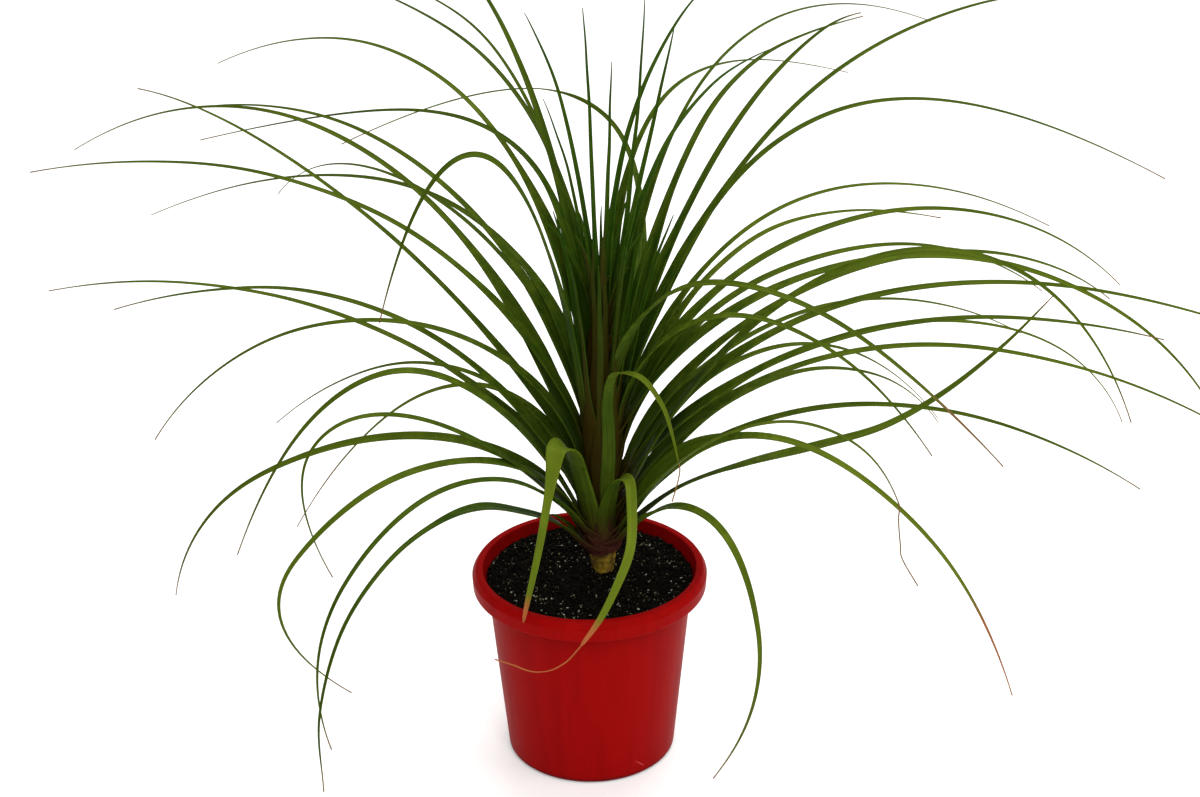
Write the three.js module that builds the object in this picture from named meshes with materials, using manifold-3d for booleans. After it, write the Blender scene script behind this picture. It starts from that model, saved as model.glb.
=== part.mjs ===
// A potted ponytail palm: a red plastic pot, dark potting mix, a short stem, a crown of upright
// young leaves and the long strap leaves that arch out of it.
// Millimetres, +Z up. The origin is the middle of the pot's underside, and -Y is the front.
import * as THREE from "three";
import { mergeVertices } from "three/addons/utils/BufferGeometryUtils.js";
import Module from "manifold-3d";

const wasm = await Module();
wasm.setup();

// Pot
const potHeight = 122;
const rimRadius = 70;
const rimMouthRadius = 63.3;
const rimSkirtHeight = 12;
const wallThickness = 1.9;
const neckRadius = 60.6;
const neckHeight = 107;
const footRadius = 50.8;
const floorThickness = 2.2;
const potSides = 48;
const drainCount = 8;
const drainRadius = 4.5;
const drainRingRadius = 37;

// Potting mix
const mixLevel = 115;
const mixGap = 0.3;
const mixRise = 2.2;
const mixSides = 32;
const mixRings = 6;

// Stem and crown, which stand a little right of and behind the middle of the pot
const plantX = 8;
const plantY = 3;
const stemFoot = 101;
const stemTop = 232;
const seatGap = 0.3;
const stemSides = 20;
const stemProfile = [
  [6.4, stemFoot],
  [7.2, 110],
  [8, 119],
  [9.4, 127],
  [10.4, 136],
  [9.8, 190],
  [8.4, 228],
  [7.4, stemTop],
];
const crownProfile = [
  [7.2, stemTop + seatGap],
  [7.4, 238],
  [6.4, 255],
  [4.2, 272],
  [1.6, 284],
];

// Leaves
const leafStations = 16;
const crownStations = 10;
const leafThickness = 1.1;
const tipThickness = 0.62;
const channelShare = 0.2;
const slimShare = 0.4;
const slimTaper = 0.65;
const broadRun = [0.08, 0.34];
const rootShare = 0.6;
const rootRun = 0.14;
const curlStart = 0.7;
const faceTurn = THREE.MathUtils.degToRad(38);
const trimGap = 0.35;

// Every leaf lies in an upright plane through the stem, turned from +X towards +Y. It leaves the
// stem at the height root, heads for its elbow and comes into its tip from there; elbow and tip
// are [distance out from the stem's axis, height above the pot's foot]. pull says how closely it
// follows that bend, bow carries its tip sideways, and curl draws its last third back in. slim is
// how broad the slim part of the leaf is, as a share of its width, broad is where along the leaf it
// turns slim, and taper is how early it narrows to its tip. A leaf that folds or bends twice has a
// path instead, of points from the stem's axis at the height of the pot's foot.
const hangingPath = [
  [-6, -9, 138],
  [-7, -12, 156],
  [-10, -16, 173],
  [-13, -21, 189],
  [-18, -28, 211],
  [-25, -36, 217],
  [-28, -43, 206],
  [-31, -49, 190],
  [-34, -56, 174],
  [-38, -64, 158],
  [-42, -69, 141],
  [-46, -73, 124],
];
const sweepingPath = [
  [5, -10, 136],
  [3, -13, 157],
  [5, -20, 177],
  [10, -31, 194],
  [16, -47, 200],
  [17, -66, 190],
  [15, -83, 177],
  [8, -97, 163],
  [-1, -105, 146],
  [-13, -108, 129],
];
const lowPath = [
  [-7, -8, 134],
  [-25, -20, 159],
  [-46, -47, 182],
  [-68, -89, 208],
  [-88, -141, 227],
  [-112, -180, 224],
  [-134, -214, 203],
  [-146, -234, 165],
  [-146, -234, 119],
];
const foldedPath = [
  [2, -11, 144],
  [3, -12, 162],
  [3, -12, 181],
  [4, -13, 200],
  [4, -14, 219],
  [4, -15, 238],
  [8, -19, 255],
  [23, -28, 257],
  [34, -36, 244],
  [40, -43, 228],
  [44, -50, 211],
];
const risingPath = [
  [10, 3, 142],
  [46, 15, 164],
  [87, 28, 173],
  [129, 42, 177],
  [170, 55, 183],
  [208, 68, 200],
  [243, 79, 224],
  [274, 89, 253],
];
const leftLeaves = [
  { turn: 158, root: 204, elbow: [100, 400], tip: [375, 320], pull: 0.65, width: 10 },
  { turn: 148, root: 180, elbow: [140, 365], tip: [335, 360], pull: 0.55, width: 9 },
  { turn: 143, root: 176, elbow: [125, 485], tip: [430, 290], pull: 0.6, width: 15, slim: 0.29 },
  { turn: 136, root: 210, elbow: [90, 415], tip: [365, 320], pull: 0.62, width: 11 },
  { turn: 138, root: 243, elbow: [30, 430], tip: [400, 280], pull: 0.86, width: 10, bow: -45 },
  { turn: 130, root: 205, elbow: [50, 430], tip: [495, 195], pull: 0.64, width: 11 },
  { turn: 124, root: 202, elbow: [75, 530], tip: [395, 230], pull: 0.34, width: 8 },
  { turn: 128, root: 240, elbow: [75, 495], tip: [415, 325], pull: 0.64, width: 12, slim: 0.3 },
  { turn: 115, root: 246, elbow: [38, 430], tip: [435, 365], pull: 0.8, width: 10 },
  { turn: 122, root: 245, elbow: [50, 450], tip: [260, 415], pull: 0.75, width: 9, slim: 0.3 },
  { turn: 118, root: 234, elbow: [52, 415], tip: [205, 460], pull: 0.75, width: 14 },
  { turn: 75, root: 200, elbow: [430, 400], tip: [115, 328], pull: 0.55, width: 11, bow: 195 },
  { turn: 200, root: 208, elbow: [50, 595], tip: [130, 300], pull: 0.52, width: 15 },
  { turn: 156, root: 164, elbow: [130, 320], tip: [380, 235], pull: 0.6, width: 10 },
  { turn: 166, root: 160, elbow: [100, 335], tip: [300, 258], pull: 0.67, width: 11 },
  { turn: 172, root: 180, elbow: [75, 508], tip: [270, 188], pull: 0.37, width: 10 },
  { turn: 142, root: 158, elbow: [88, 302], tip: [268, 135], pull: 0.62, width: 9 },
  { turn: -172, root: 152, elbow: [123, 390], tip: [215, 146], pull: 0.6, width: 14 },
  { turn: 170, root: 138, elbow: [95, 352], tip: [304, 75], pull: 0.48, width: 15, curl: 35, slim: 0.5 },
  { turn: -158, root: 147, elbow: [250, 480], tip: [181, 149], pull: 0.4, width: 9, curl: 14 },
  { turn: 152, root: 163, elbow: [75, 340], tip: [220, 92], pull: 0.57, width: 10 },
  { turn: -154, root: 148, elbow: [220, 597], tip: [229, 77], pull: 0.26, width: 14, curl: 66 },
  { turn: -132, root: 144, elbow: [186, 399], tip: [260, 100], pull: 0.48, width: 11, curl: 37 },
  { turn: -122, root: 134, path: lowPath, width: 8, slim: 0.55, broad: [0.3, 0.55] },
  { turn: 172, root: 134, elbow: [22, 156], tip: [36, 152], pull: 0.6, width: 7 },
];
const rightLeaves = [
  { turn: 76, root: 240, elbow: [38, 444], tip: [355, 315], pull: 0.9, width: 9, bow: -85 },
  { turn: 58, root: 238, elbow: [77, 492], tip: [430, 337], pull: 0.72, width: 9, slim: 0.27 },
  { turn: 52, root: 222, elbow: [88, 412], tip: [270, 390], pull: 0.88, width: 12 },
  { turn: 44, root: 226, elbow: [93, 420], tip: [220, 412], pull: 0.6, width: 13 },
  { turn: 36, root: 217, elbow: [118, 468], tip: [408, 395], pull: 0.68, width: 11, slim: 0.34 },
  { turn: 24, root: 215, elbow: [95, 480], tip: [384, 302], pull: 0.74, width: 10 },
  { turn: 32, root: 202, elbow: [85, 417], tip: [336, 262], pull: 0.65, width: 8 },
  { turn: 42, root: 198, elbow: [90, 344], tip: [294, 261], pull: 0.75, width: 11 },
  { turn: 22, root: 193, elbow: [84, 520], tip: [348, 242], pull: 0.43, width: 13 },
  { turn: 34, root: 190, elbow: [83, 434], tip: [345, 210], pull: 0.46, width: 13 },
  { turn: 12, root: 180, elbow: [129, 366], tip: [430, 219], pull: 0.65, width: 14 },
  { turn: 2, root: 173, elbow: [110, 323], tip: [326, 259], pull: 0.63, width: 15 },
  { turn: 16, root: 161, elbow: [142, 347], tip: [442, 127], pull: 0.62, width: 12 },
  { turn: 34, root: 142, elbow: [128, 332], tip: [261, 140], pull: 0.47, width: 11 },
  { turn: 0, root: 145, elbow: [106, 314], tip: [317, 167], pull: 0.58, width: 12 },
  { turn: 18, root: 142, path: risingPath, width: 8.5, slim: 0.9 },
  {
    turn: -32,
    root: 144,
    elbow: [114, 384],
    tip: [283, 114],
    pull: 0.55,
    width: 14,
    curl: 18,
    broad: [0.2, 0.36],
  },
  { turn: -20, root: 208, elbow: [44, 444], tip: [196, 225], pull: 0.46, width: 12 },
  { turn: -42, root: 230, elbow: [38, 437], tip: [275, 279], pull: 0.56, width: 15 },
  { turn: 44, root: 158, elbow: [128, 335], tip: [315, 106], pull: 0.54, width: 11 },
  { turn: -52, root: 139, elbow: [155, 405], tip: [246, 263], pull: 0.43, width: 8 },
  { turn: 26, root: 152, elbow: [202, 517], tip: [377, 129], pull: 0.34, width: 9 },
  { turn: 38, root: 172, elbow: [118, 327], tip: [352, 170], pull: 0.6, width: 10 },
  { turn: -8, root: 161, elbow: [182, 567], tip: [302, 232], pull: 0.48, width: 14 },
  { turn: 4, root: 208, elbow: [197, 570], tip: [377, 180], pull: 0.42, width: 14 },
  { turn: 18, root: 172, elbow: [97, 452], tip: [327, 245], pull: 0.43, width: 13 },
];
const frontLeaves = [
  { turn: -122, root: 138, path: hangingPath, width: 15, slim: 0.44, broad: [0.38, 0.66], taper: 0.3 },
  { turn: -80, root: 144, path: foldedPath, width: 9.6, slim: 0.75, broad: [0.4, 0.75] },
  { turn: -60, root: 136, path: sweepingPath, width: 13.5, slim: 0.54, broad: [0.08, 0.45], taper: 0.3 },
  { turn: -50, root: 138, elbow: [183, 360], tip: [136, 18], pull: 0.48, width: 13, curl: 37, slim: 0.48 },
];
const backLeaves = [{ turn: 94, root: 170, elbow: [80, 340], tip: [290, 170], pull: 0.6, width: 12 }];

// Upright leaves of the crown that stand out of the others, in the same terms
const uprightLeaves = [
  { turn: 150, root: 262, elbow: [6, 405], tip: [46, 456], pull: 0.6, width: 9 },
  { turn: 140, root: 266, elbow: [9, 350], tip: [40, 405], pull: 0.6, width: 7 },
  { turn: 150, root: 270, elbow: [3, 400], tip: [9, 464], pull: 0.5, width: 8 },
  { turn: 36, root: 262, elbow: [26, 345], tip: [32, 466], pull: 0.6, width: 10 },
  { turn: 48, root: 258, elbow: [4, 425], tip: [99, 458], pull: 0.68, width: 10 },
  { turn: 20, root: 266, elbow: [26, 370], tip: [45, 450], pull: 0.5, width: 11 },
  { turn: 62, root: 270, elbow: [10, 350], tip: [16, 430], pull: 0.5, width: 9 },
  { turn: 50, root: 262, elbow: [45, 405], tip: [160, 400], pull: 0.72, width: 9 },
];

// The youngest leaves, in the middle of the crown, placed by rule
const youngCount = 11;
const youngTurnStep = 137.5;
const youngRoot = [258, 278];
const youngReach = [8, 34];
const youngUp = [306, 352];
const youngWidth = [7, 10];
const seed = 20;

const leafGreen = 0x34520f;
const crownGreen = 0x2c4a12;
const stemBrown = 0x4a3024;
const potRed = 0xa80f10;
const mixBlack = 0x1d1916;

// A repeatable random number between 0 and 1.
function randomFrom(start) {
  let state = start;
  return () => {
    state = (state * 1664525 + 1013904223) % 4294967296;
    return state / 4294967296;
  };
}

function closedGeometry(positions, faces) {
  const geometry = new THREE.BufferGeometry();
  geometry.setAttribute("position", new THREE.Float32BufferAttribute(positions, 3));
  geometry.setIndex(faces);
  return geometry;
}

function solidOf(geometry) {
  const bare = geometry.clone();
  bare.deleteAttribute("normal");
  bare.deleteAttribute("uv");
  const merged = mergeVertices(bare, 1e-4);
  const mesh = new wasm.Mesh({
    numProp: 3,
    vertProperties: merged.attributes.position.array,
    triVerts: new Uint32Array(merged.index.array),
  });
  return new wasm.Manifold(mesh);
}

function geometryOf(solid) {
  const mesh = solid.getMesh();
  const geometry = closedGeometry(mesh.vertProperties, Array.from(mesh.triVerts));
  geometry.computeVertexNormals();
  return geometry;
}

// A solid turned about the Z axis from [radius, height] points that start and end on the axis.
function turned(points, sides) {
  const outline = points.map(([radius, height]) => new THREE.Vector2(radius, height));
  return new THREE.LatheGeometry(outline, sides).rotateX(Math.PI / 2);
}

// Straight between the points of a [radius, height] list.
function radiusAt(profile, height) {
  const next = profile.findIndex(([, level]) => level >= height);
  if (next <= 0) {
    return next === 0 ? profile[0][0] : profile.at(-1)[0];
  }
  const [r0, z0] = profile[next - 1];
  const [r1, z1] = profile[next];
  return r0 + ((r1 - r0) * (height - z0)) / (z1 - z0);
}

// Pot: tapered wall, rounded foot and a turned-over rim that is open from below.
function potGeometry() {
  const rimTop = potHeight;
  const skirtFoot = potHeight - rimSkirtHeight;
  const skirtRadius = rimRadius - 0.6;
  const mouth = rimMouthRadius;
  const profile = [
    [0, 0],
    [footRadius - 3.6, 0],
    [footRadius - 1, 1],
    [footRadius, 3.8],
    [neckRadius, neckHeight],
    [mouth - 0.4, skirtFoot + 4],
    [mouth + 1, rimTop - wallThickness - 0.4],
    [rimRadius - 2.8, rimTop - wallThickness - 0.8],
    [skirtRadius - wallThickness + 0.4, skirtFoot + 6],
    [skirtRadius - wallThickness, skirtFoot],
    [skirtRadius, skirtFoot],
    [rimRadius, skirtFoot + 7.4],
    [rimRadius - 0.9, rimTop - 1.8],
    [rimRadius - 3.2, rimTop - 0.2],
    [mouth + 1.3, rimTop],
    [mouth, rimTop - 0.8],
    [mouth - 2, skirtFoot + 3],
    [neckRadius - wallThickness, neckHeight],
    [footRadius - wallThickness, floorThickness + 2],
    [footRadius - wallThickness - 1.4, floorThickness],
    [0, floorThickness],
  ];
  let solid = solidOf(turned(profile, potSides));
  for (let i = 0; i < drainCount; i += 1) {
    const angle = ((i + 0.5) * 2 * Math.PI) / drainCount;
    const hole = new THREE.CylinderGeometry(drainRadius, drainRadius, 4 * floorThickness, 12);
    hole.rotateX(Math.PI / 2);
    hole.translate(drainRingRadius * Math.cos(angle), drainRingRadius * Math.sin(angle), 0);
    solid = solid.subtract(solidOf(hole));
  }
  return geometryOf(solid);
}

// Potting mix: it fills the pot to mixLevel, lies a little higher round the stem, is lumpy on top
// and has a plain hole for the stem's foot.
function mixGeometry() {
  const wall = (height) =>
    radiusAt(
      [
        [footRadius - wallThickness, floorThickness + 2],
        [neckRadius - wallThickness, neckHeight],
        [rimMouthRadius - 2, potHeight - rimSkirtHeight + 3],
        [rimMouthRadius, potHeight],
      ],
      height,
    ) - mixGap;
  const foot = floorThickness + mixGap;
  const outline = [
    [0, foot],
    [wall(foot) - 1.6, foot],
    [wall(foot + 2), foot + 2],
    [wall(neckHeight), neckHeight],
    [wall(mixLevel - 1), mixLevel - 1],
  ];
  for (let i = 1; i <= mixRings; i += 1) {
    const share = 1 - i / mixRings;
    outline.push([share * (wall(mixLevel) - 1), mixLevel + mixRise * (1 - share)]);
  }
  const geometry = turned(outline, mixSides);
  const position = geometry.attributes.position;
  for (let i = 0; i < position.count; i += 1) {
    const x = position.getX(i);
    const y = position.getY(i);
    const z = position.getZ(i);
    if (z > mixLevel - 0.5) {
      const lump = Math.sin(x * 0.21 + 1) * Math.cos(y * 0.17) + 0.5 * Math.sin(x * 0.43 - y * 0.38);
      position.setZ(i, z + 0.6 * lump);
    }
  }
  const hole = turned(
    [
      [0, stemFoot - seatGap],
      [radiusAt(stemProfile, stemFoot) + seatGap, stemFoot - seatGap],
      [radiusAt(stemProfile, 108) + seatGap, 108],
      [radiusAt(stemProfile, 118) + seatGap, 118],
      [radiusAt(stemProfile, 127) + seatGap, 127],
      [0, 127],
    ],
    stemSides,
  );
  hole.translate(plantX, plantY, 0);
  return geometryOf(solidOf(geometry).subtract(solidOf(hole)));
}

function stemGeometry() {
  return turned([[0, stemFoot], ...stemProfile, [0, stemTop]], stemSides);
}

// The middle line of a leaf as points, from its root to its tip.
function leafLine(leaf, rootRadius, stations) {
  const { path, elbow, tip, pull, bow = 0, curl = 0 } = leaf;
  if (path) {
    const spots = path.map((spot) => new THREE.Vector3(...spot));
    return new THREE.CatmullRomCurve3(spots, false, "catmullrom", 0.5).getPoints(stations - 1);
  }
  const start = new THREE.Vector2(rootRadius, leaf.root);
  const bend = new THREE.Vector2(...elbow);
  const end = new THREE.Vector2(...tip);
  const curve = new THREE.CubicBezierCurve(
    start,
    start.clone().lerp(bend, pull),
    end.clone().lerp(bend, pull),
    end,
  );
  const turn = THREE.MathUtils.degToRad(leaf.turn);
  const points = [];
  for (let i = 0; i < stations; i += 1) {
    const t = i / (stations - 1);
    const spot = curve.getPoint(t);
    const out = spot.x - curl * Math.max(0, (t - curlStart) / (1 - curlStart)) ** 2;
    const side = bow * t * t;
    points.push(
      new THREE.Vector3(
        out * Math.cos(turn) - side * Math.sin(turn),
        out * Math.sin(turn) + side * Math.cos(turn),
        spot.y,
      ),
    );
  }
  return points;
}

// A leaf's width as a share of its greatest: broad just above its root, then slim to its tip.
function widthShare(t, { slim = slimShare, broad: span = broadRun, taper = slimTaper }) {
  const swell = rootShare + (1 - rootShare) * Math.min(1, t / rootRun);
  const broad = (1 - slim) * (1 - THREE.MathUtils.smoothstep(t, ...span));
  return swell * (slim * (1 - t) ** taper + broad);
}

// A strap leaf: a shallow channel in section, widest near its root, drawn out to a fine point.
// Its upper face turns a little to the front as it leaves the stem. grow makes it that much
// larger all round.
function leafGeometry(leaf, rootRadius, stations, grow = 0) {
  const line = leafLine(leaf, rootRadius, stations);
  const turn = THREE.MathUtils.degToRad(leaf.turn);
  const level = new THREE.Vector3(-Math.sin(turn), Math.cos(turn), 0);
  const last = stations - 1;
  const positions = [];
  line.forEach((spot, i) => {
    const along = line[Math.min(i + 1, last)].clone().sub(line[Math.max(i - 1, 0)]).normalize();
    if (i === 0 || i === last) {
      spot = spot.clone().addScaledVector(along, i === 0 ? -grow : grow);
    }
    if (i === last) {
      positions.push(...spot);
      return;
    }
    const t = i / last;
    const side = level.clone().addScaledVector(along, -level.dot(along)).normalize();
    const face = along.clone().cross(side);
    const roll = faceTurn * Math.cos(turn) * THREE.MathUtils.smoothstep(t, 0.08, 0.5);
    const across = side.clone().multiplyScalar(Math.cos(roll)).addScaledVector(face, Math.sin(roll));
    const up = face.multiplyScalar(Math.cos(roll)).addScaledVector(side, -Math.sin(roll));
    const half = (leaf.width / 2) * widthShare(t, leaf);
    const channel = channelShare * half;
    const thickness = THREE.MathUtils.lerp(leafThickness, tipThickness, Math.min(1, 1.6 * t));
    const edge = half + grow;
    const outline = [
      [edge, channel + grow],
      [0, grow],
      [-edge, channel + grow],
      [-edge, channel - grow],
      [0, -thickness - grow],
      [edge, channel - grow],
    ];
    const corners = grow > 0 ? outline : [outline[0], outline[1], outline[2], outline[4]];
    for (const [a, b] of corners) {
      positions.push(...spot.clone().addScaledVector(across, a).addScaledVector(up, b));
    }
  });
  const count = grow > 0 ? 6 : 4;
  const faces = [];
  for (let k = 2; k <= count; k += 1) {
    faces.push(1, (k + 1) % count, k % count);
  }
  // The squares are split alike on both faces of the blade, so that a twisted one stays open.
  for (let i = 0; i < last - 1; i += 1) {
    for (let k = 0; k < count; k += 1) {
      const a = count * i + k;
      const b = count * i + ((k + 1) % count);
      if (2 * k < count) {
        faces.push(a, b, b + count, a, b + count, a + count);
      } else {
        faces.push(a, b, a + count, b, b + count, a + count);
      }
    }
  }
  const ring = count * (last - 1);
  for (let k = 0; k < count; k += 1) {
    faces.push(ring + k, ring + ((k + 1) % count), ring + count);
  }
  return closedGeometry(positions, faces);
}

function youngLeaves() {
  const random = randomFrom(seed);
  const between = ([low, high]) => low + (high - low) * random();
  const leaves = [];
  for (let i = 0; i < youngCount; i += 1) {
    const rise = i / (youngCount - 1);
    const reach = between(youngReach);
    const up = between(youngUp);
    leaves.push({
      turn: i * youngTurnStep,
      root: THREE.MathUtils.lerp(...youngRoot, rise),
      elbow: [0.35 * reach, 0.75 * up + 0.25 * youngRoot[1]],
      tip: [reach, up],
      pull: 0.6,
      width: between(youngWidth),
    });
  }
  return leaves;
}

function largestBody(solid) {
  return solid.decompose().reduce((best, body) => (body.volume() > best.volume() ? body : best));
}

// The crown: its leaves are rooted deep in one tapered core, which sits on the stem. Hollows that
// they close off between them are filled.
function crownGeometry() {
  let solid = solidOf(turned([[0, crownProfile[0][1]], ...crownProfile, [0, 286]], stemSides));
  for (const leaf of [...uprightLeaves, ...youngLeaves()]) {
    const rootRadius = 0.4 * radiusAt(crownProfile, leaf.root);
    solid = solid.add(solidOf(leafGeometry(leaf, rootRadius, crownStations)));
  }
  return largestBody(solid);
}

// What is left of a leaf once it stops short of the leaves placed before it.
function clearOf(solid, neighbours) {
  let rest = solid;
  for (const neighbour of neighbours) {
    if (rest.intersect(neighbour).volume() > 0) {
      rest = largestBody(rest.subtract(neighbour));
    }
  }
  return rest;
}

const palm = new THREE.Group();
const plant = new THREE.Group();
plant.position.set(plantX, plantY, 0);
palm.add(plant);

function addMesh(group, name, geometry, color, roughness) {
  geometry.computeVertexNormals();
  const material = new THREE.MeshStandardMaterial({ color, roughness, metalness: 0 });
  const mesh = new THREE.Mesh(geometry, material);
  mesh.name = name;
  group.add(mesh);
}

addMesh(palm, "pot", potGeometry(), potRed, 0.42);
addMesh(palm, "potting_mix", mixGeometry(), mixBlack, 0.95);
addMesh(plant, "trunk", stemGeometry(), stemBrown, 0.7);
const crown = crownGeometry();
addMesh(plant, "crown", geometryOf(crown), crownGreen, 0.55);

// The strap leaves, rooted against the stem or the crown's core.
const leafGroups = {
  leaf_left: leftLeaves,
  leaf_right: rightLeaves,
  leaf_front: frontLeaves,
  leaf_back: backLeaves,
};
const neighbours = [];
for (const [prefix, leaves] of Object.entries(leafGroups)) {
  leaves.forEach((leaf, i) => {
    const profile = leaf.root < stemTop ? stemProfile : crownProfile;
    const rootRadius = radiusAt(profile, leaf.root) + seatGap;
    const whole = solidOf(leafGeometry(leaf, rootRadius, leafStations));
    const name = `${prefix}_${String(i + 1).padStart(2, "0")}`;
    addMesh(plant, name, geometryOf(clearOf(whole, neighbours)), leafGreen, 0.5);
    neighbours.push(solidOf(leafGeometry(leaf, rootRadius, leafStations, trimGap)));
  });
}

export default palm;
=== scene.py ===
import math
import random

import bmesh
import bpy
from mathutils import Matrix, Vector, noise


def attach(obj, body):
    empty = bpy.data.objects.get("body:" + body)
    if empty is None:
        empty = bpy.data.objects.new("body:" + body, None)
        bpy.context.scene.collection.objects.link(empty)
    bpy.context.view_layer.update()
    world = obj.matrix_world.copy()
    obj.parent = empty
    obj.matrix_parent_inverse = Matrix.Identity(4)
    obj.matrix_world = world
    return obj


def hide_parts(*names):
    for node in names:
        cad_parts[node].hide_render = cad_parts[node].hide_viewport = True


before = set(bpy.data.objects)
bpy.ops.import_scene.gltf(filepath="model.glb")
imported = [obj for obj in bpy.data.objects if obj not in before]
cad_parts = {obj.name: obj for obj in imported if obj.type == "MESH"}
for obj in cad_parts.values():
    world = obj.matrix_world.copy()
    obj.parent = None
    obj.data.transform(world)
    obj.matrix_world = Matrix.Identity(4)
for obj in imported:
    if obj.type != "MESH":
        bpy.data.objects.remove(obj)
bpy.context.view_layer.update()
mm = 0.001  # everything below is in millimetres until addPiece
scene = bpy.context.scene

# Camera: the photograph's viewpoint, looking down on the rim from the front
viewpoint = {
    "place": (7.3, -1401.9, 915.4),
    "pitch": 64.01,
    "roll": 0.61,
    "lens": 81.0,
    "sensor": 36.0,
    "farthest": 50,
}


def addCamera():
    data = bpy.data.cameras.new("camera")
    data.lens = viewpoint["lens"]
    data.sensor_width = viewpoint["sensor"]
    data.clip_end = viewpoint["farthest"]
    camera = bpy.data.objects.new("camera", data)
    scene.collection.objects.link(camera)
    camera.matrix_world = (
        Matrix.Translation(Vector(viewpoint["place"]) * mm)
        @ Matrix.Rotation(math.radians(viewpoint["pitch"]), 4, "X")
        @ Matrix.Rotation(-math.radians(viewpoint["roll"]), 4, "Z")
    )
    scene.camera = camera


# Light: a white room and three soft boxes
studio = {
    "roomStrength": 0.44,
    "softBoxes": {  # place, size and power of each, all aimed at the plant
        "keyLight": ((200, -1600, 2000), 1300, 30),
        "fillLight": ((1700, -700, 1300), 1200, 11),
        "topLight": ((200, 900, 2400), 1700, 46),
    },
    "aim": (0, 0, 220),
}


def addLights():
    world = bpy.data.worlds.new("whiteRoom")
    world.use_nodes = True
    background = world.node_tree.nodes["Background"]
    background.inputs["Color"].default_value = (1, 1, 1, 1)
    background.inputs["Strength"].default_value = studio["roomStrength"]
    scene.world = world
    for name, (place, size, power) in studio["softBoxes"].items():
        data = bpy.data.lights.new(name, "AREA")
        data.size = size * mm
        data.energy = power
        lamp = bpy.data.objects.new(name, data)
        scene.collection.objects.link(lamp)
        lamp.location = Vector(place) * mm
        ahead = Vector(studio["aim"]) - Vector(place)
        lamp.rotation_euler = ahead.to_track_quat("-Z", "Y").to_euler()
    scene.view_settings.view_transform = "Standard"


# Node helpers


def newMaterial(name):
    material = bpy.data.materials.new(name)
    material.use_nodes = True
    tree = material.node_tree
    return material, tree.nodes, tree.links, tree.nodes["Principled BSDF"]


def addNode(nodes, kind, **settings):
    node = nodes.new(kind)
    for key, value in settings.items():
        setattr(node, key, value)
    return node


def feed(links, value, socket):
    if isinstance(value, bpy.types.NodeSocket):
        links.new(value, socket)
    else:
        socket.default_value = value


def mathNode(nodes, links, operation, *values, clamp=False):
    node = addNode(nodes, "ShaderNodeMath", operation=operation, use_clamp=clamp)
    for value, socket in zip(values, node.inputs):
        feed(links, value, socket)
    return node.outputs[0]


def ramp(nodes, links, value, low, high):
    node = addNode(nodes, "ShaderNodeMapRange", interpolation_type="SMOOTHSTEP")
    feed(links, value, node.inputs["Value"])
    node.inputs["From Min"].default_value = low
    node.inputs["From Max"].default_value = high
    return node.outputs["Result"]


def mixColour(nodes, links, share, first, second):
    node = addNode(nodes, "ShaderNodeMix", data_type="RGBA")
    feed(links, share, node.inputs["Factor"])
    feed(links, first, node.inputs["A"])
    feed(links, second, node.inputs["B"])
    return node.outputs["Result"]


def noiseNode(nodes, links, place, stretch, scale, detail=3.0):
    mapping = addNode(nodes, "ShaderNodeMapping")
    feed(links, place, mapping.inputs["Vector"])
    mapping.inputs["Scale"].default_value = stretch
    node = addNode(nodes, "ShaderNodeTexNoise")
    links.new(mapping.outputs["Vector"], node.inputs["Vector"])
    node.inputs["Scale"].default_value = scale
    node.inputs["Detail"].default_value = detail
    return node.outputs["Fac"]


def newGroup(name, inputs, outputs):
    group = bpy.data.node_groups.new(name, "ShaderNodeTree")
    for label, kind, value in inputs:
        socket = group.interface.new_socket(name=label, in_out="INPUT", socket_type=kind)
        socket.default_value = value
    for label, kind in outputs:
        group.interface.new_socket(name=label, in_out="OUTPUT", socket_type=kind)
    start = group.nodes.new("NodeGroupInput")
    end = group.nodes.new("NodeGroupOutput")
    return group, group.nodes, group.links, start.outputs, end.inputs


def placeGroup(nodes, links, group, **values):
    node = addNode(nodes, "ShaderNodeGroup", node_tree=group)
    for label, value in values.items():
        feed(links, value, node.inputs[label])
    return node.outputs


def bump(nodes, links, height, distance, strength, shader):
    node = addNode(nodes, "ShaderNodeBump")
    node.inputs["Strength"].default_value = strength
    node.inputs["Distance"].default_value = distance
    links.new(height, node.inputs["Height"])
    links.new(node.outputs["Normal"], shader.inputs["Normal"])


# Piece helpers


def addPiece(name, bm, materials, slot, *nodes):
    bmesh.ops.scale(bm, vec=(mm, mm, mm), verts=bm.verts)
    for face in bm.faces:
        face.smooth = True
    mesh = bpy.data.meshes.new(name)
    bm.to_mesh(mesh)
    bm.free()
    for material in materials:
        mesh.materials.append(material)
    piece = bpy.data.objects.new(name, mesh)
    scene.collection.objects.link(piece)
    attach(piece, "root")
    if nodes:
        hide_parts(*nodes)
    return piece


def smoothStep(value, low, high):
    share = min(1, max(0, (value - low) / (high - low)))
    return share * share * (3 - 2 * share)


# An outline of (radius, height, fillet) corners as points, with support points beside each fillet.
def filletedOutline(corners, steps=5, support=0.6):
    points = []
    for i, (radius, height, fillet) in enumerate(corners):
        corner = Vector((radius, height))
        if not fillet:
            points.append(corner)
            continue
        before = (Vector(corners[i - 1][:2]) - corner).normalized()
        after = (Vector(corners[i + 1][:2]) - corner).normalized()
        half = before.angle(after) / 2
        reach = fillet / math.tan(half)
        centre = corner + (before + after).normalized() * (fillet / math.sin(half))
        first = corner + before * reach
        last = corner + after * reach
        points.append(first + before * support)
        for k in range(steps + 1):
            spot = first.lerp(last, k / steps)
            points.append(centre + (spot - centre).normalized() * fillet)
        points.append(last + after * support)
    return points


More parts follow.
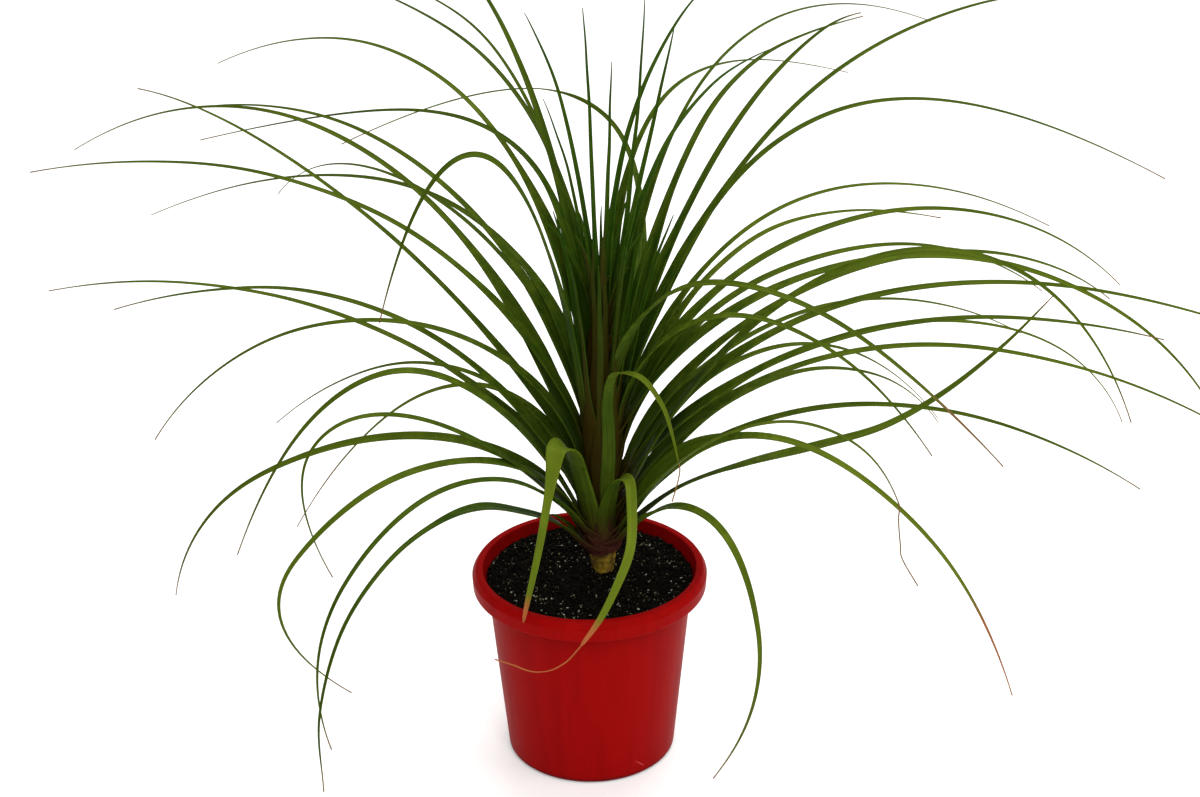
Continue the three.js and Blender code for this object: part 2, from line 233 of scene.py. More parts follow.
# A solid spun about the vertical line through centre, from points that start and end on it.
def spinSolid(points, sides, centre=(0, 0)):
    bm = bmesh.new()
    verts = [bm.verts.new((point.x, 0, point.y)) for point in points]
    edges = [bm.edges.new(pair) for pair in zip(verts, verts[1:])]
    bmesh.ops.spin(
        bm, geom=verts + edges, cent=(0, 0, 0), axis=(0, 0, 1), dvec=(0, 0, 0),
        angle=2 * math.pi, steps=sides, use_merge=True,
    )
    bmesh.ops.remove_doubles(bm, verts=bm.verts, dist=0.0005)
    bmesh.ops.recalc_face_normals(bm, faces=bm.faces)
    bmesh.ops.translate(bm, vec=(*centre, 0), verts=bm.verts)
    return bm


# Pot
pot = {
    "corners": [  # radius, height, fillet
        (0, 0, 0),
        (50.2, 0, 3.4),
        (60.6, 107, 6),
        (62.9, 114, 3),
        (64.2, 119.6, 0.8),
        (67.2, 119.4, 1),
        (67.6, 110, 0.6),
        (69.5, 110, 0.8),
        (70, 118, 2.2),
        (67.6, 122, 2.4),
        (63.6, 122, 1),
        (61.3, 112, 3),
        (58.7, 107, 3),
        (48.7, 2.2, 2.2),
        (0, 2.2, 0),
    ],
    "sides": 144,
    "drainRing": 37,
    "drainRadius": 4.5,
    "drainCount": 8,
    "drainSides": 32,
    "drainDepth": 12,
    "red": (0.262, 0.0018, 0.0016, 1),
    "deepRed": (0.225, 0.0014, 0.0014, 1),
    "scuffed": (0.42, 0.02, 0.015, 1),
    # painted shade at the foot: its dark red, and the height it fades out by
    "paintedFootShade": (0.08, 0.0008, 0.0008, 1),
    "footShade": 0.005,
    "scratch": {
        "place": (0.0292, -0.05, 0.0085),
        "lean": 48,
        "size": (0.0062, 0.02, 0.00055),
        "colour": (0.42, 0.045, 0.045, 1),
    },
}


# Red plastic with upright flow marks, a few scuffs, one scratch near the foot, and painted shade
# that darkens the foot.
def redPlastic(grain):
    material, nodes, links, shader = newMaterial("redPlastic")
    place = addNode(nodes, "ShaderNodeTexCoord").outputs["Object"]
    flow = noiseNode(nodes, links, place, (1, 1, 0.05), 150)
    mottle = noiseNode(nodes, links, place, (1, 1, 1), 26, 2)
    marks = ramp(nodes, links, flow, 0.35, 0.7)
    colour = mixColour(nodes, links, marks, pot["red"], pot["deepRed"])
    cleared = mathNode(nodes, links, "MULTIPLY", mottle, 0.5)
    colour = mixColour(nodes, links, cleared, colour, pot["red"])
    fine = placeGroup(nodes, links, grain, Vector=place, Scale=900.0, Low=0.62, High=0.75)
    scuffs = mathNode(nodes, links, "MULTIPLY", fine["Mask"], 0.2)
    colour = mixColour(nodes, links, scuffs, colour, pot["scuffed"])
    mark = addNode(nodes, "ShaderNodeMapping", vector_type="TEXTURE")
    links.new(place, mark.inputs["Vector"])
    scratch = pot["scratch"]
    mark.inputs["Location"].default_value = scratch["place"]
    mark.inputs["Rotation"].default_value = (0, math.radians(scratch["lean"]), 0)
    mark.inputs["Scale"].default_value = scratch["size"]
    away = addNode(nodes, "ShaderNodeVectorMath", operation="LENGTH")
    links.new(mark.outputs["Vector"], away.inputs[0])
    beside = ramp(nodes, links, away.outputs["Value"], 0.5, 1.0)
    broken = ramp(nodes, links, fine["Height"], 0.2, 0.5)
    scratched = mathNode(nodes, links, "SUBTRACT", 1.0, beside)
    scratched = mathNode(nodes, links, "MULTIPLY", scratched, broken)
    colour = mixColour(nodes, links, scratched, colour, scratch["colour"])
    # Painted shade: the colour darkens to a deep red over the lowest few millimetres of the foot
    height = addNode(nodes, "ShaderNodeSeparateXYZ")
    links.new(place, height.inputs[0])
    above = ramp(nodes, links, height.outputs["Z"], 0, pot["footShade"])
    colour = mixColour(nodes, links, above, pot["paintedFootShade"], colour)
    links.new(colour, shader.inputs["Base Color"])
    rough = mathNode(nodes, links, "MULTIPLY_ADD", flow, 0.16, 0.34)
    links.new(rough, shader.inputs["Roughness"])
    shader.inputs["Specular IOR Level"].default_value = 0.016
    bump(nodes, links, fine["Height"], 0.0001, 0.25, shader)
    return material


def addPot(grain):
    bm = spinSolid(filletedOutline(pot["corners"]), pot["sides"])
    piece = addPiece("potShell", bm, [redPlastic(grain)], "pot", "pot")
    holes = bmesh.new()
    for i in range(pot["drainCount"]):
        turn = Matrix.Rotation((i + 0.5) * 2 * math.pi / pot["drainCount"], 4, "Z")
        place = turn @ Matrix.Translation((pot["drainRing"], 0, 0))
        bmesh.ops.create_cone(
            holes, cap_ends=True, segments=pot["drainSides"], depth=pot["drainDepth"],
            radius1=pot["drainRadius"], radius2=pot["drainRadius"], matrix=place,
        )
    bmesh.ops.scale(holes, vec=(mm, mm, mm), verts=holes.verts)
    cutterMesh = bpy.data.meshes.new("drainCutter")
    holes.to_mesh(cutterMesh)
    holes.free()
    cutter = bpy.data.objects.new("drainCutter", cutterMesh)
    scene.collection.objects.link(cutter)
    cut = piece.modifiers.new("drainHoles", "BOOLEAN")
    cut.operation = "DIFFERENCE"
    cut.object = cutter
    cut.solver = "EXACT"
    bpy.context.view_layer.update()
    graph = bpy.context.evaluated_depsgraph_get()
    drilled = bpy.data.meshes.new_from_object(piece.evaluated_get(graph))
    piece.modifiers.clear()
    piece.data = drilled
    bpy.data.objects.remove(cutter)
    bpy.data.meshes.remove(cutterMesh)


# Potting mix
mix = {
    "level": 115,
    "radius": 61,
    "foot": 2.6,
    "footRadius": 47,
    "rise": 2.2,
    "rings": 60,
    "sides": 180,
    "crumbs": ((1.1, 5, 0), (0.5, 1.8, 9), (1.8, 17, 3)),  # height, size and offset of the noise
    "soil": ((0.0028, 0.0024, 0.0016, 1), (0.009, 0.0075, 0.0045, 1)),
    "barkCount": 3400,
    "barkSize": (0.6, 2.2),
    "barkFlat": 0.45,
    "bark": ((0.0024, 0.002, 0.0016, 1), (0.016, 0.0115, 0.006, 1)),
    "gritCount": 1300,
    "gritSize": (0.25, 0.85),
    "gritFlat": 0.7,
    "gritColours": (
        (0.16, 0.17, 0.11),
        (0.08, 0.09, 0.03),
        (0.12, 0.1, 0.035),
        (0.05, 0.06, 0.018),
        (0.3, 0.31, 0.24),
    ),
    "grainNudge": 0.18,
    "batch": 80,
    "seed": 11,
}


# The height of the mix at x, y: the lumps of the solid, with crumbs on them.
def mixHeight(x, y):
    lump = math.sin(x * 0.21 + 1) * math.cos(y * 0.17) + 0.5 * math.sin(x * 0.43 - y * 0.38)
    crumbs = sum(
        high * noise.noise(Vector((x / size, y / size, offset)))
        for high, size, offset in mix["crumbs"]
    )
    share = min(1, math.hypot(x, y) / mix["radius"])
    return mix["level"] + mix["rise"] * (1 - share) + 0.6 * lump + crumbs


# Damp soil or bark, between two colours by its grain and by each grain's tint.
def darkMix(grain, name, dark, light):
    material, nodes, links, shader = newMaterial(name)
    place = addNode(nodes, "ShaderNodeTexCoord").outputs["Object"]
    fine = placeGroup(nodes, links, grain, Vector=place, Scale=700.0, Low=0.45, High=0.7)
    tint = addNode(nodes, "ShaderNodeAttribute", attribute_name="tint").outputs["Fac"]
    share = mathNode(nodes, links, "MULTIPLY", fine["Mask"], tint)
    links.new(mixColour(nodes, links, share, dark, light), shader.inputs["Base Color"])
    shader.inputs["Roughness"].default_value = 0.86
    shader.inputs["Specular IOR Level"].default_value = 0.03
    bump(nodes, links, fine["Height"], 0.0004, 0.6, shader)
    return material


# Each grain takes one of the grit's colours by its own tint.
def paleGrit(grain):
    material, nodes, links, shader = newMaterial("paleGrit")
    tint = addNode(nodes, "ShaderNodeAttribute", attribute_name="tint").outputs["Fac"]
    choice = addNode(nodes, "ShaderNodeValToRGB")
    choice.color_ramp.interpolation = "CONSTANT"
    colours = mix["gritColours"]
    stops = choice.color_ramp.elements
    stops.remove(stops[1])
    for i, colour in enumerate(colours):
        stop = stops[0] if i == 0 else stops.new(i / len(colours))
        stop.color = (*colour, 1)
    links.new(tint, choice.inputs["Fac"])
    place = addNode(nodes, "ShaderNodeTexCoord").outputs["Object"]
    fine = placeGroup(nodes, links, grain, Vector=place, Scale=1500.0, Low=0.4, High=0.7)
    links.new(choice.outputs["Color"], shader.inputs["Base Color"])
    shader.inputs["Roughness"].default_value = 0.7
    bump(nodes, links, fine["Height"], 0.0002, 0.5, shader)
    return material


# Loose grains that lie half sunk in the mix, from the wall to the stem.
def scatterGrains(count, sizes, seed, flat):
    rng = random.Random(seed)
    whole = bmesh.new()
    holder = bpy.data.meshes.new("grains")
    for i in range(count):
        if i % mix["batch"] == 0:  # small batches keep the operators quick
            bm = bmesh.new()
            tint = bm.verts.layers.float.new("tint")
        reach = (mix["radius"] - 0.8) * math.sqrt(rng.random())
        turn = rng.random() * 2 * math.pi
        x = reach * math.cos(turn)
        y = reach * math.sin(turn)
        size = rng.uniform(*sizes)
        spun = Matrix.Rotation(rng.random() * 6.3, 4, "Z")
        tilt = spun @ Matrix.Rotation(rng.uniform(-0.7, 0.7), 4, "X")
        length = size * rng.uniform(0.8, 1.6)
        width = size * rng.uniform(0.5, 0.9)
        shape = Matrix.Diagonal((length, width, size * flat, 1))
        place = Matrix.Translation((x, y, mixHeight(x, y) + 0.15 * size)) @ tilt @ shape
        grown = bmesh.ops.create_icosphere(bm, subdivisions=1, radius=1, matrix=place)
        shade = rng.random()
        for vert in grown["verts"]:
            vert[tint] = shade
            nudge = Vector((rng.uniform(-1, 1), rng.uniform(-1, 1), rng.uniform(-1, 1)))
            vert.co += nudge * mix["grainNudge"] * size
        if i % mix["batch"] == mix["batch"] - 1 or i == count - 1:
            bm.to_mesh(holder)
            whole.from_mesh(holder)
            bm.free()
    bpy.data.meshes.remove(holder)
    return whole


def addMix(grain):
    outline = [
        Vector((0, mix["foot"])),
        Vector((mix["footRadius"], mix["foot"])),
        Vector((mix["radius"], mix["level"] - 2)),
    ]
    for i in range(mix["rings"]):
        share = 1 - i / mix["rings"]
        outline.append(Vector((mix["radius"] * share, mix["level"])))
    outline.append(Vector((0, mix["level"])))
    bm = spinSolid(outline, mix["sides"])
    tint = bm.verts.layers.float.new("tint")
    for vert in bm.verts:
        if vert.co.z > mix["level"] - 0.5:
            vert.co.z = mixHeight(vert.co.x, vert.co.y)
            vert[tint] = 0.5 + 0.5 * noise.noise(vert.co / 7)
    soil = darkMix(grain, "dampMix", *mix["soil"])
    addPiece("mixBody", bm, [soil], "potting_mix", "potting_mix")
    bark = darkMix(grain, "barkBits", *mix["bark"])
    barkBits = scatterGrains(mix["barkCount"], mix["barkSize"], mix["seed"], mix["barkFlat"])
    addPiece("mixBark", barkBits, [bark], "potting_mix", "potting_mix")
    grit = scatterGrains(mix["gritCount"], mix["gritSize"], mix["seed"] + 1, mix["gritFlat"])
    addPiece("mixGrit", grit, [paleGrit(grain)], "potting_mix", "potting_mix")


# Stem: the line that the plant grows up, and its radius at each height
stem = {
    "axis": (8, 3),
    "foot": 101,
    "top": 232,
    "profile": [
        (101, 6.4), (110, 7.2), (119, 8), (127, 9.4),
        (136, 10.4), (190, 9.8), (228, 8.4), (232, 7.4),
    ],
    "crown": [(232, 7.2), (238, 7.4), (255, 6.4), (272, 4.2), (284, 1.6)],
    "footDepth": 1.7,
    "sheathDepth": 3.2,
    "tuck": 4,
    "scarDepth": 0.35,
    "sides": 72,
    "rings": 90,
    "straw": (0.3, 0.2, 0.014, 1),
    "blotch": (0.05, 0.027, 0.007, 1),
    "dryFibre": (0.14, 0.085, 0.01, 1),
    "sheath": ((0.035, 0.012, 0.009, 1), (0.012, 0.006, 0.005, 1)),
    "sheathFrom": (0.129, 0.136),
}


def radiusAt(profile, height):
    if height <= profile[0][0]:
        return profile[0][1]
    for (low, lowRadius), (high, highRadius) in zip(profile, profile[1:]):
        if height <= high:
            return lowRadius + (highRadius - lowRadius) * (height - low) / (high - low)
    return profile[-1][1]


def stemRadius(height):
    return radiusAt(stem["profile"] if height < stem["top"] else stem["crown"], height)


# Straw with dark blotches at the foot, and purple-brown sheath above a wandering edge.
def stemSkin(grain):
    material, nodes, links, shader = newMaterial("stemSkin")
    place = addNode(nodes, "ShaderNodeTexCoord").outputs["Object"]
    fibre = noiseNode(nodes, links, place, (1, 1, 0.12), 420)
    height = addNode(nodes, "ShaderNodeSeparateXYZ")
    links.new(place, height.inputs[0])
    drift = noiseNode(nodes, links, place, (1, 1, 1), 160)
    wander = mathNode(nodes, links, "MULTIPLY_ADD", drift, 0.016, -0.008)
    level = mathNode(nodes, links, "ADD", height.outputs["Z"], wander)
    blotch = ramp(nodes, links, noiseNode(nodes, links, place, (1, 1, 0.7), 230), 0.42, 0.62)
    straw = mixColour(nodes, links, blotch, stem["straw"], stem["blotch"])
    straw = mixColour(nodes, links, fibre, straw, stem["dryFibre"])
    sheath = mixColour(nodes, links, fibre, *stem["sheath"])
    skin = mixColour(nodes, links, ramp(nodes, links, level, *stem["sheathFrom"]), straw, sheath)
    links.new(skin, shader.inputs["Base Color"])
    fine = placeGroup(nodes, links, grain, Vector=place, Scale=600.0, Low=0.4, High=0.7)
    shader.inputs["Roughness"].default_value = 0.6
    shader.inputs["Specular IOR Level"].default_value = 0.15
    rise = mathNode(nodes, links, "ADD", fibre, fine["Height"])
    bump(nodes, links, rise, 0.0005, 0.7, shader)
    return material


# The stem itself, ringed by old leaf scars, thinner where the sheaths of the leaves wrap it.
def addStem(grain):
    outline = [Vector((0, stem["foot"]))]
    top = stem["top"] - stem["tuck"]
    deeper = stem["sheathDepth"] - stem["footDepth"]
    for i in range(stem["rings"] + 1):
        height = stem["foot"] + (top - stem["foot"]) * i / stem["rings"]
        sunk = stem["footDepth"] + deeper * smoothStep(height, 131, 140)
        scar = stem["scarDepth"] * math.sin(height * 1.5) * (1 - smoothStep(height, 128, 136))
        outline.append(Vector((stemRadius(height) - sunk + scar, height)))
    outline.append(Vector((0, top)))
    bm = spinSolid(outline, stem["sides"], stem["axis"])
    for vert in bm.verts:
        away = Vector((vert.co.x - stem["axis"][0], vert.co.y - stem["axis"][1], 0))
        if away.length > 1:
            swell = 0.5 * noise.noise(Vector((away.x / 3, away.y / 3, vert.co.z / 9)))
            vert.co += away.normalized() * swell
    addPiece("stemCore", bm, [stemSkin(grain)], "stem", "trunk")


# Leaves. Each lies in an upright plane through the stem: its turn from +X towards +Y, the height of
# its root, then its elbow and its tip as (distance out, height), how closely it follows that bend,
# its width, how far its tip is carried sideways and drawn back in, and its tone from deep to
# yellow. A leaf whose path is given in leafDetails has no elbow and no tip.
leafKeys = ("turn", "root", "elbow", "tip", "pull", "width", "bow", "curl", "tone")
leftLeaves = [
    (158, 204, (100, 400), (375, 320), 0.65, 10, 0, 0, 0.4),
    (148, 180, (140, 365), (335, 360), 0.55, 9, 0, 0, 0.38),
    (143, 176, (125, 485), (430, 290), 0.6, 15, 0, 0, 0.4),
    (136, 210, (90, 415), (365, 320), 0.62, 11, 0, 0, 0.35),
    (138, 243, (30, 430), (400, 280), 0.86, 10, -45, 0, 0.2),
    (130, 205, (50, 430), (495, 195), 0.64, 11, 0, 0, 0.3),
    (124, 202, (75, 530), (395, 230), 0.34, 8, 0, 0, 0.3),
    (128, 240, (75, 495), (415, 325), 0.64, 12, 0, 0, 0.48),
    (115, 246, (38, 430), (435, 365), 0.8, 10, 0, 0, 0.25),
    (122, 245, (50, 450), (260, 415), 0.75, 9, 0, 0, 0.25),
    (118, 234, (52, 415), (205, 460), 0.75, 14, 0, 0, 0.2),
    (75, 200, (430, 400), (115, 328), 0.55, 11, 195, 0, 0.3),
    (200, 208, (50, 595), (130, 300), 0.52, 15, 0, 0, 0.25),
    (156, 164, (130, 320), (380, 235), 0.6, 10, 0, 0, 0.45),
    (166, 160, (100, 335), (300, 258), 0.67, 11, 0, 0, 0.35),
    (172, 180, (75, 508), (270, 188), 0.37, 10, 0, 0, 0.35),
    (142, 158, (88, 302), (268, 135), 0.62, 9, 0, 0, 0.35),
    (-172, 152, (123, 390), (215, 146), 0.6, 14, 0, 0, 0.35),
    (170, 138, (95, 352), (304, 75), 0.48, 15, 0, 35, 0.38),
    (-158, 147, (250, 480), (181, 149), 0.4, 9, 0, 14, 0.34),
    (152, 163, (75, 340), (220, 92), 0.57, 10, 0, 0, 0.5),
    (-154, 148, (220, 597), (229, 77), 0.26, 14, 0, 66, 0.42),
    (-132, 144, (186, 399), (260, 100), 0.48, 11, 0, 37, 0.26),
    (-122, 134, None, None, 0, 8, 0, 0, 0.15),
    (172, 134, (22, 156), (36, 152), 0.6, 7, 0, 0, 0.2),
]
rightLeaves = [
    (76, 240, (38, 444), (355, 315), 0.9, 9, -85, 0, 0.3),
    (58, 238, (77, 492), (430, 337), 0.72, 9, 0, 0, 0.3),
    (52, 222, (88, 412), (270, 390), 0.88, 12, 0, 0, 0.24),
    (44, 226, (93, 420), (220, 412), 0.6, 13, 0, 0, 0.2),
    (36, 217, (118, 468), (408, 395), 0.68, 11, 0, 0, 0.3),
    (24, 215, (95, 480), (384, 302), 0.74, 10, 0, 0, 0.3),
    (32, 202, (85, 417), (336, 262), 0.65, 8, 0, 0, 0.45),
    (42, 198, (90, 344), (294, 261), 0.75, 11, 0, 0, 0.5),
    (22, 193, (84, 520), (348, 242), 0.43, 13, 0, 0, 0.4),
    (34, 190, (83, 434), (345, 210), 0.46, 13, 0, 0, 0.4),
    (12, 180, (129, 366), (430, 219), 0.65, 14, 0, 0, 0.4),
    (2, 173, (110, 323), (326, 259), 0.63, 15, 0, 0, 0.32),
    (16, 161, (142, 347), (442, 127), 0.62, 12, 0, 0, 0.45),
    (34, 142, (128, 332), (261, 140), 0.47, 11, 0, 0, 0.4),
    (0, 145, (106, 314), (317, 167), 0.58, 12, 0, 0, 0.3),
    (18, 142, None, None, 0, 8.5, 0, 0, 0.4),
    (-32, 144, (114, 384), (283, 114), 0.55, 14, 0, 18, 0.56),
    (-20, 208, (44, 444), (196, 225), 0.46, 12, 0, 0, 0.35),
    (-42, 230, (38, 437), (275, 279), 0.56, 15, 0, 0, 0.4),
    (44, 158, (128, 335), (315, 106), 0.54, 11, 0, 0, 0.4),
    (-52, 139, (155, 405), (246, 263), 0.43, 8, 0, 0, 0.45),
    (26, 152, (202, 517), (377, 129), 0.34, 9, 0, 0, 0.5),
    (38, 172, (118, 327), (352, 170), 0.6, 10, 0, 0, 0.4),
    (-8, 161, (182, 567), (302, 232), 0.48, 14, 0, 0, 0.4),
    (4, 208, (197, 570), (377, 180), 0.42, 14, 0, 0, 0.45),
    (18, 172, (97, 452), (327, 245), 0.43, 13, 0, 0, 0.4),
]
frontLeaves = [
    (-122, 138, None, None, 0, 15, 0, 0, 0.64),
    (-80, 144, None, None, 0, 9.6, 0, 0, 0.58),
    (-60, 136, None, None, 0, 13.5, 0, 0, 0.66),
    (-50, 138, (183, 360), (136, 18), 0.48, 13, 0, 37, 0.43),
]
backLeaves = [(94, 170, (80, 340), (290, 170), 0.6, 12, 0, 0, 0.4)]
uprightLeaves = [
    (150, 262, (6, 405), (46, 456), 0.6, 9, 0, 0, 0.2),
    (140, 266, (9, 350), (40, 405), 0.6, 7, 0, 0, 0.2),
    (150, 270, (3, 400), (9, 464), 0.5, 8, 0, 0, 0.15),
    (36, 262, (26, 345), (32, 466), 0.6, 10, 0, 0, 0.2),
    (48, 258, (4, 425), (99, 458), 0.68, 10, 0, 0, 0.2),
    (20, 266, (26, 370), (45, 450), 0.5, 11, 0, 0, 0.25),
    (62, 270, (10, 350), (16, 430), 0.5, 9, 0, 0, 0.2),
    (50, 262, (45, 405), (160, 400), 0.72, 9, 0, 0, 0.2),
]
# The bases of the innermost leaves, which clasp the stem under the crown
columnLeaves = [
    (-92, 168, (14, 270), (18, 322), 0.6, 15, 0, 0, 0.12),
    (-60, 186, (14, 280), (28, 328), 0.6, 14, 0, 0, 0.15),
    (-126, 190, (14, 280), (28, 326), 0.6, 14, 0, 0, 0.12),
    (-30, 206, (15, 290), (34, 338), 0.6, 13, 0, 0, 0.2),
    (-158, 210, (15, 290), (30, 338), 0.6, 13, 0, 0, 0.12),
    (-76, 214, (11, 290), (12, 332), 0.6, 13, 0, 0, 0.1),
    (-106, 224, (11, 295), (15, 334), 0.6, 12, 0, 0, 0.12),
    (-46, 226, (11, 295), (20, 332), 0.6, 12, 0, 0, 0.15),
    (8, 200, (18, 290), (42, 342), 0.6, 12, 0, 0, 0.15),
    (172, 222, (12, 300), (26, 346), 0.6, 12, 0, 0, 0.12),
    (88, 206, (15, 290), (30, 338), 0.6, 12, 0, 0, 0.15),
    (132, 184, (16, 280), (36, 334), 0.6, 12, 0, 0, 0.15),
    (48, 180, (16, 280), (38, 336), 0.6, 12, 0, 0, 0.15),
]
oldSheaths = [
    (-142, 138, (12, 149), (19, 163), 0.6, 13, 0, 0, 0.3),
    (-104, 136, (11, 146), (15, 156), 0.6, 13, 0, 0, 0.2),
    (-72, 138, (11, 149), (16, 162), 0.6, 12, 0, 0, 0.3),
    (-30, 136, (12, 147), (21, 158), 0.6, 13, 0, 0, 0.3),
    (14, 139, (12, 151), (22, 166), 0.6, 12, 0, 0, 0.3),
    (62, 136, (11, 148), (19, 160), 0.6, 13, 0, 0, 0.3),
    (112, 138, (12, 150), (20, 162), 0.6, 13, 0, 0, 0.3),
    (160, 137, (12, 148), (18, 158), 0.6, 12, 0, 0, 0.3),
]
youngLeaves = {
    "count": 11,
    "turnStep": 137.5,
    "root": (258, 278),
    "reach": (8, 34),
    "up": (306, 352),
    "width": (7, 10),
    "seed": 20,
}
blade = {
    "along": 76,
    "across": 8,
    "sheathLength": 24,
    "sheathRows": 12,
    "sheathHalf": 11.5,
    "sheathFoot": 135.5,
    "sheathRagged": 4,
    "thickness": 0.95,
    "tipThickness": 0.5,
    "rootShare": 0.6,
    "rootRun": 0.14,
    "slimShare": 0.4,
    "slimTaper": 0.65,
    "broadRun": (0.08, 0.34),
    "channel": 0.26,
    "twistRun": (0.08, 0.5),
    # painted shade: the tone is darkened near the root and rises to its full value over this run
    "rootShadeRun": (0.08, 0.5),
    "curlStart": 0.7,
    "faceTurn": 38,
    "rootTwistRun": 40,
    "wobble": 0.28,
    "sway": 0.9,
    "claspRun": (-10, 18),
    "claspShare": 0.95,
    "fold": 0.12,
    "seatGap": 0.3,
    "leastHalf": 0.24,
    "innerLeastHalf": 0.1,
    "thickRun": (0.1, 0.9),
    "threadSteps": 5,
    "easeRounds": 6,
    "dryStart": 0.93,
    "innerDryStart": 0.99,
    "dryRun": 0.07,
    # the share of the tone kept at the root, as painted shade
    "rootShadeTone": 0.3,
    "maskFrom": -30,
    "maskLength": 230,
}
# What sets single leaves apart: where they turn dry, how slim they are and from where, how they are
# turned above the root, the path of a leaf that folds or bends twice, as points from the stem's
# axis, and the dry thread past a tip, as (out, sideways, up) from it.
leafDetails = {
    "leaf_left_03": {"slim": 0.29},
    "leaf_left_08": {"slim": 0.3},
    "leaf_left_10": {"slim": 0.3},
    "leaf_left_19": {"slim": 0.5},
    "leaf_left_24": {
        "slim": 0.55,
        "broadRun": (0.3, 0.55),
        "rootTwist": -18,
        "rootShadeRun": (0.3, 0.6),
        "path": [
            (-7, -8, 134), (-25, -20, 159), (-46, -47, 182), (-68, -89, 208), (-88, -141, 227),
            (-112, -180, 224), (-134, -214, 203), (-146, -234, 165), (-146, -234, 119),
        ],
    },
    "leaf_right_02": {"slim": 0.27},
    "leaf_right_05": {"slim": 0.34},
    "leaf_right_16": {
        "slim": 0.9,
        "rootTwist": -24,
        "twistRun": (0.15, 0.45),
        "path": [
            (10, 3, 142), (46, 15, 164), (87, 28, 173), (129, 42, 177),
            (170, 55, 183), (208, 68, 200), (243, 79, 224), (274, 89, 253),
        ],
    },
    "leaf_front_01": {
        "dryStart": 0.9,
        "slim": 0.44,
        "taper": 0.3,
        "broadRun": (0.38, 0.66),
        "rootShadeRun": (0.3, 0.5),
        "path": [
            (-6, -9, 138), (-7, -12, 156), (-10, -16, 173), (-13, -21, 189),
            (-18, -28, 211), (-25, -36, 217), (-28, -43, 206), (-31, -49, 190),
            (-34, -56, 174), (-38, -64, 158), (-42, -69, 141), (-46, -73, 124),
        ],
    },
    "leaf_front_02": {
        "dryStart": 0.96,
        "slim": 0.75,
        "broadRun": (0.4, 0.75),
        "rootShadeRun": (0.5, 0.7),
        "path": [
            (2, -11, 144), (3, -12, 162), (3, -12, 181), (4, -13, 200),
            (4, -14, 219), (4, -15, 238), (8, -19, 255), (23, -28, 257),
            (34, -36, 244), (40, -43, 228), (44, -50, 211),
        ],
        "thread": [(0.6, -0.6, -6), (2, -3, -14), (3, -5, -20)],
    },
    "leaf_front_03": {
        "dryStart": 0.88,
        "slim": 0.54,
        "taper": 0.3,
        "broadRun": (0.08, 0.45),
        "rootShadeRun": (0.3, 0.45),
        "path": [
            (5, -10, 136), (3, -13, 157), (5, -20, 177), (10, -31, 194), (16, -47, 200),
            (17, -66, 190), (15, -83, 177), (8, -97, 163), (-1, -105, 146), (-13, -108, 129),
        ],
        "thread": [
            (-4, -7, -10), (-9, -15, -16), (-14, -24, -16.5), (-19, -33, -12), (-24, -42, -8),
        ],
    },
    "leaf_front_04": {"slim": 0.48},
    "leaf_right_17": {
        "dryStart": 0.84,
        "broadRun": (0.2, 0.36),
        "rootTwist": 48,
        "twistRun": (0.3, 0.5),
        "rootShadeRun": (0.32, 0.46),
    },
    "leaf_right_19": {"dryStart": 0.86},
    "leaf_right_21": {"thread": [(0, 0, -9), (2, 0, -22), (4, 0, -30), (14, 2, -42)]},
    "leaf_left_21": {"dryStart": 0.82},
}


# The same repeatable random numbers that place the crown's youngest leaves in the solids.
def crownRandom(start):
    state = start
    while True:
        state = (state * 1664525 + 1013904223) % 4294967296
        yield state / 4294967296


def youngRows():
    draw = crownRandom(youngLeaves["seed"])
    rows = []
    for i in range(youngLeaves["count"]):
        rise = i / (youngLeaves["count"] - 1)
        reach, up, width = (
            low + (high - low) * next(draw)
            for low, high in (youngLeaves["reach"], youngLeaves["up"], youngLeaves["width"])
        )
        root = youngLeaves["root"][0] + (youngLeaves["root"][1] - youngLeaves["root"][0]) * rise
        elbow = (0.35 * reach, 0.75 * up + 0.25 * youngLeaves["root"][1])
        rows.append((i * youngLeaves["turnStep"], root, elbow, (reach, up), 0.6, width, 0, 0, 0.15))
    return rows


# The spot at s between b and c, on a smooth curve that also passes through a and d.
def catmull(a, b, c, d, s):
    square = 2 * a - 5 * b + 4 * c - d
    cube = 3 * b - a - 3 * c + d
    return 0.5 * (2 * b + (c - a) * s + square * s**2 + cube * s**3)


# The middle line of a leaf that has a path of its own.
def alongPath(path, t):
    knots = [Vector(spot) for spot in path]
    knots = [2 * knots[0] - knots[1], *knots, 2 * knots[-1] - knots[-2]]
    place = t * (len(path) - 1)
    i = min(int(place), len(path) - 2)
    return catmull(*knots[i:i + 4], place - i)


# The middle line of any other leaf, between root and tip and bent towards the elbow.
def alongBend(leaf, outward, sideways, t):
    start = Vector((leaf["rootRadius"], leaf["root"]))
    bend = Vector(leaf["elbow"])
    end = Vector(leaf["tip"])
    handleA = start.lerp(bend, leaf["pull"])
    handleB = end.lerp(bend, leaf["pull"])
    s = 1 - t
    spot = start * s**3 + handleA * 3 * s * s * t + handleB * 3 * s * t * t + end * t**3
    drawn = leaf["curl"] * max(0, (t - blade["curlStart"]) / (1 - blade["curlStart"])) ** 2
    return outward * (spot.x - drawn) + sideways * leaf["bow"] * t * t + Vector((0, 0, spot.y))


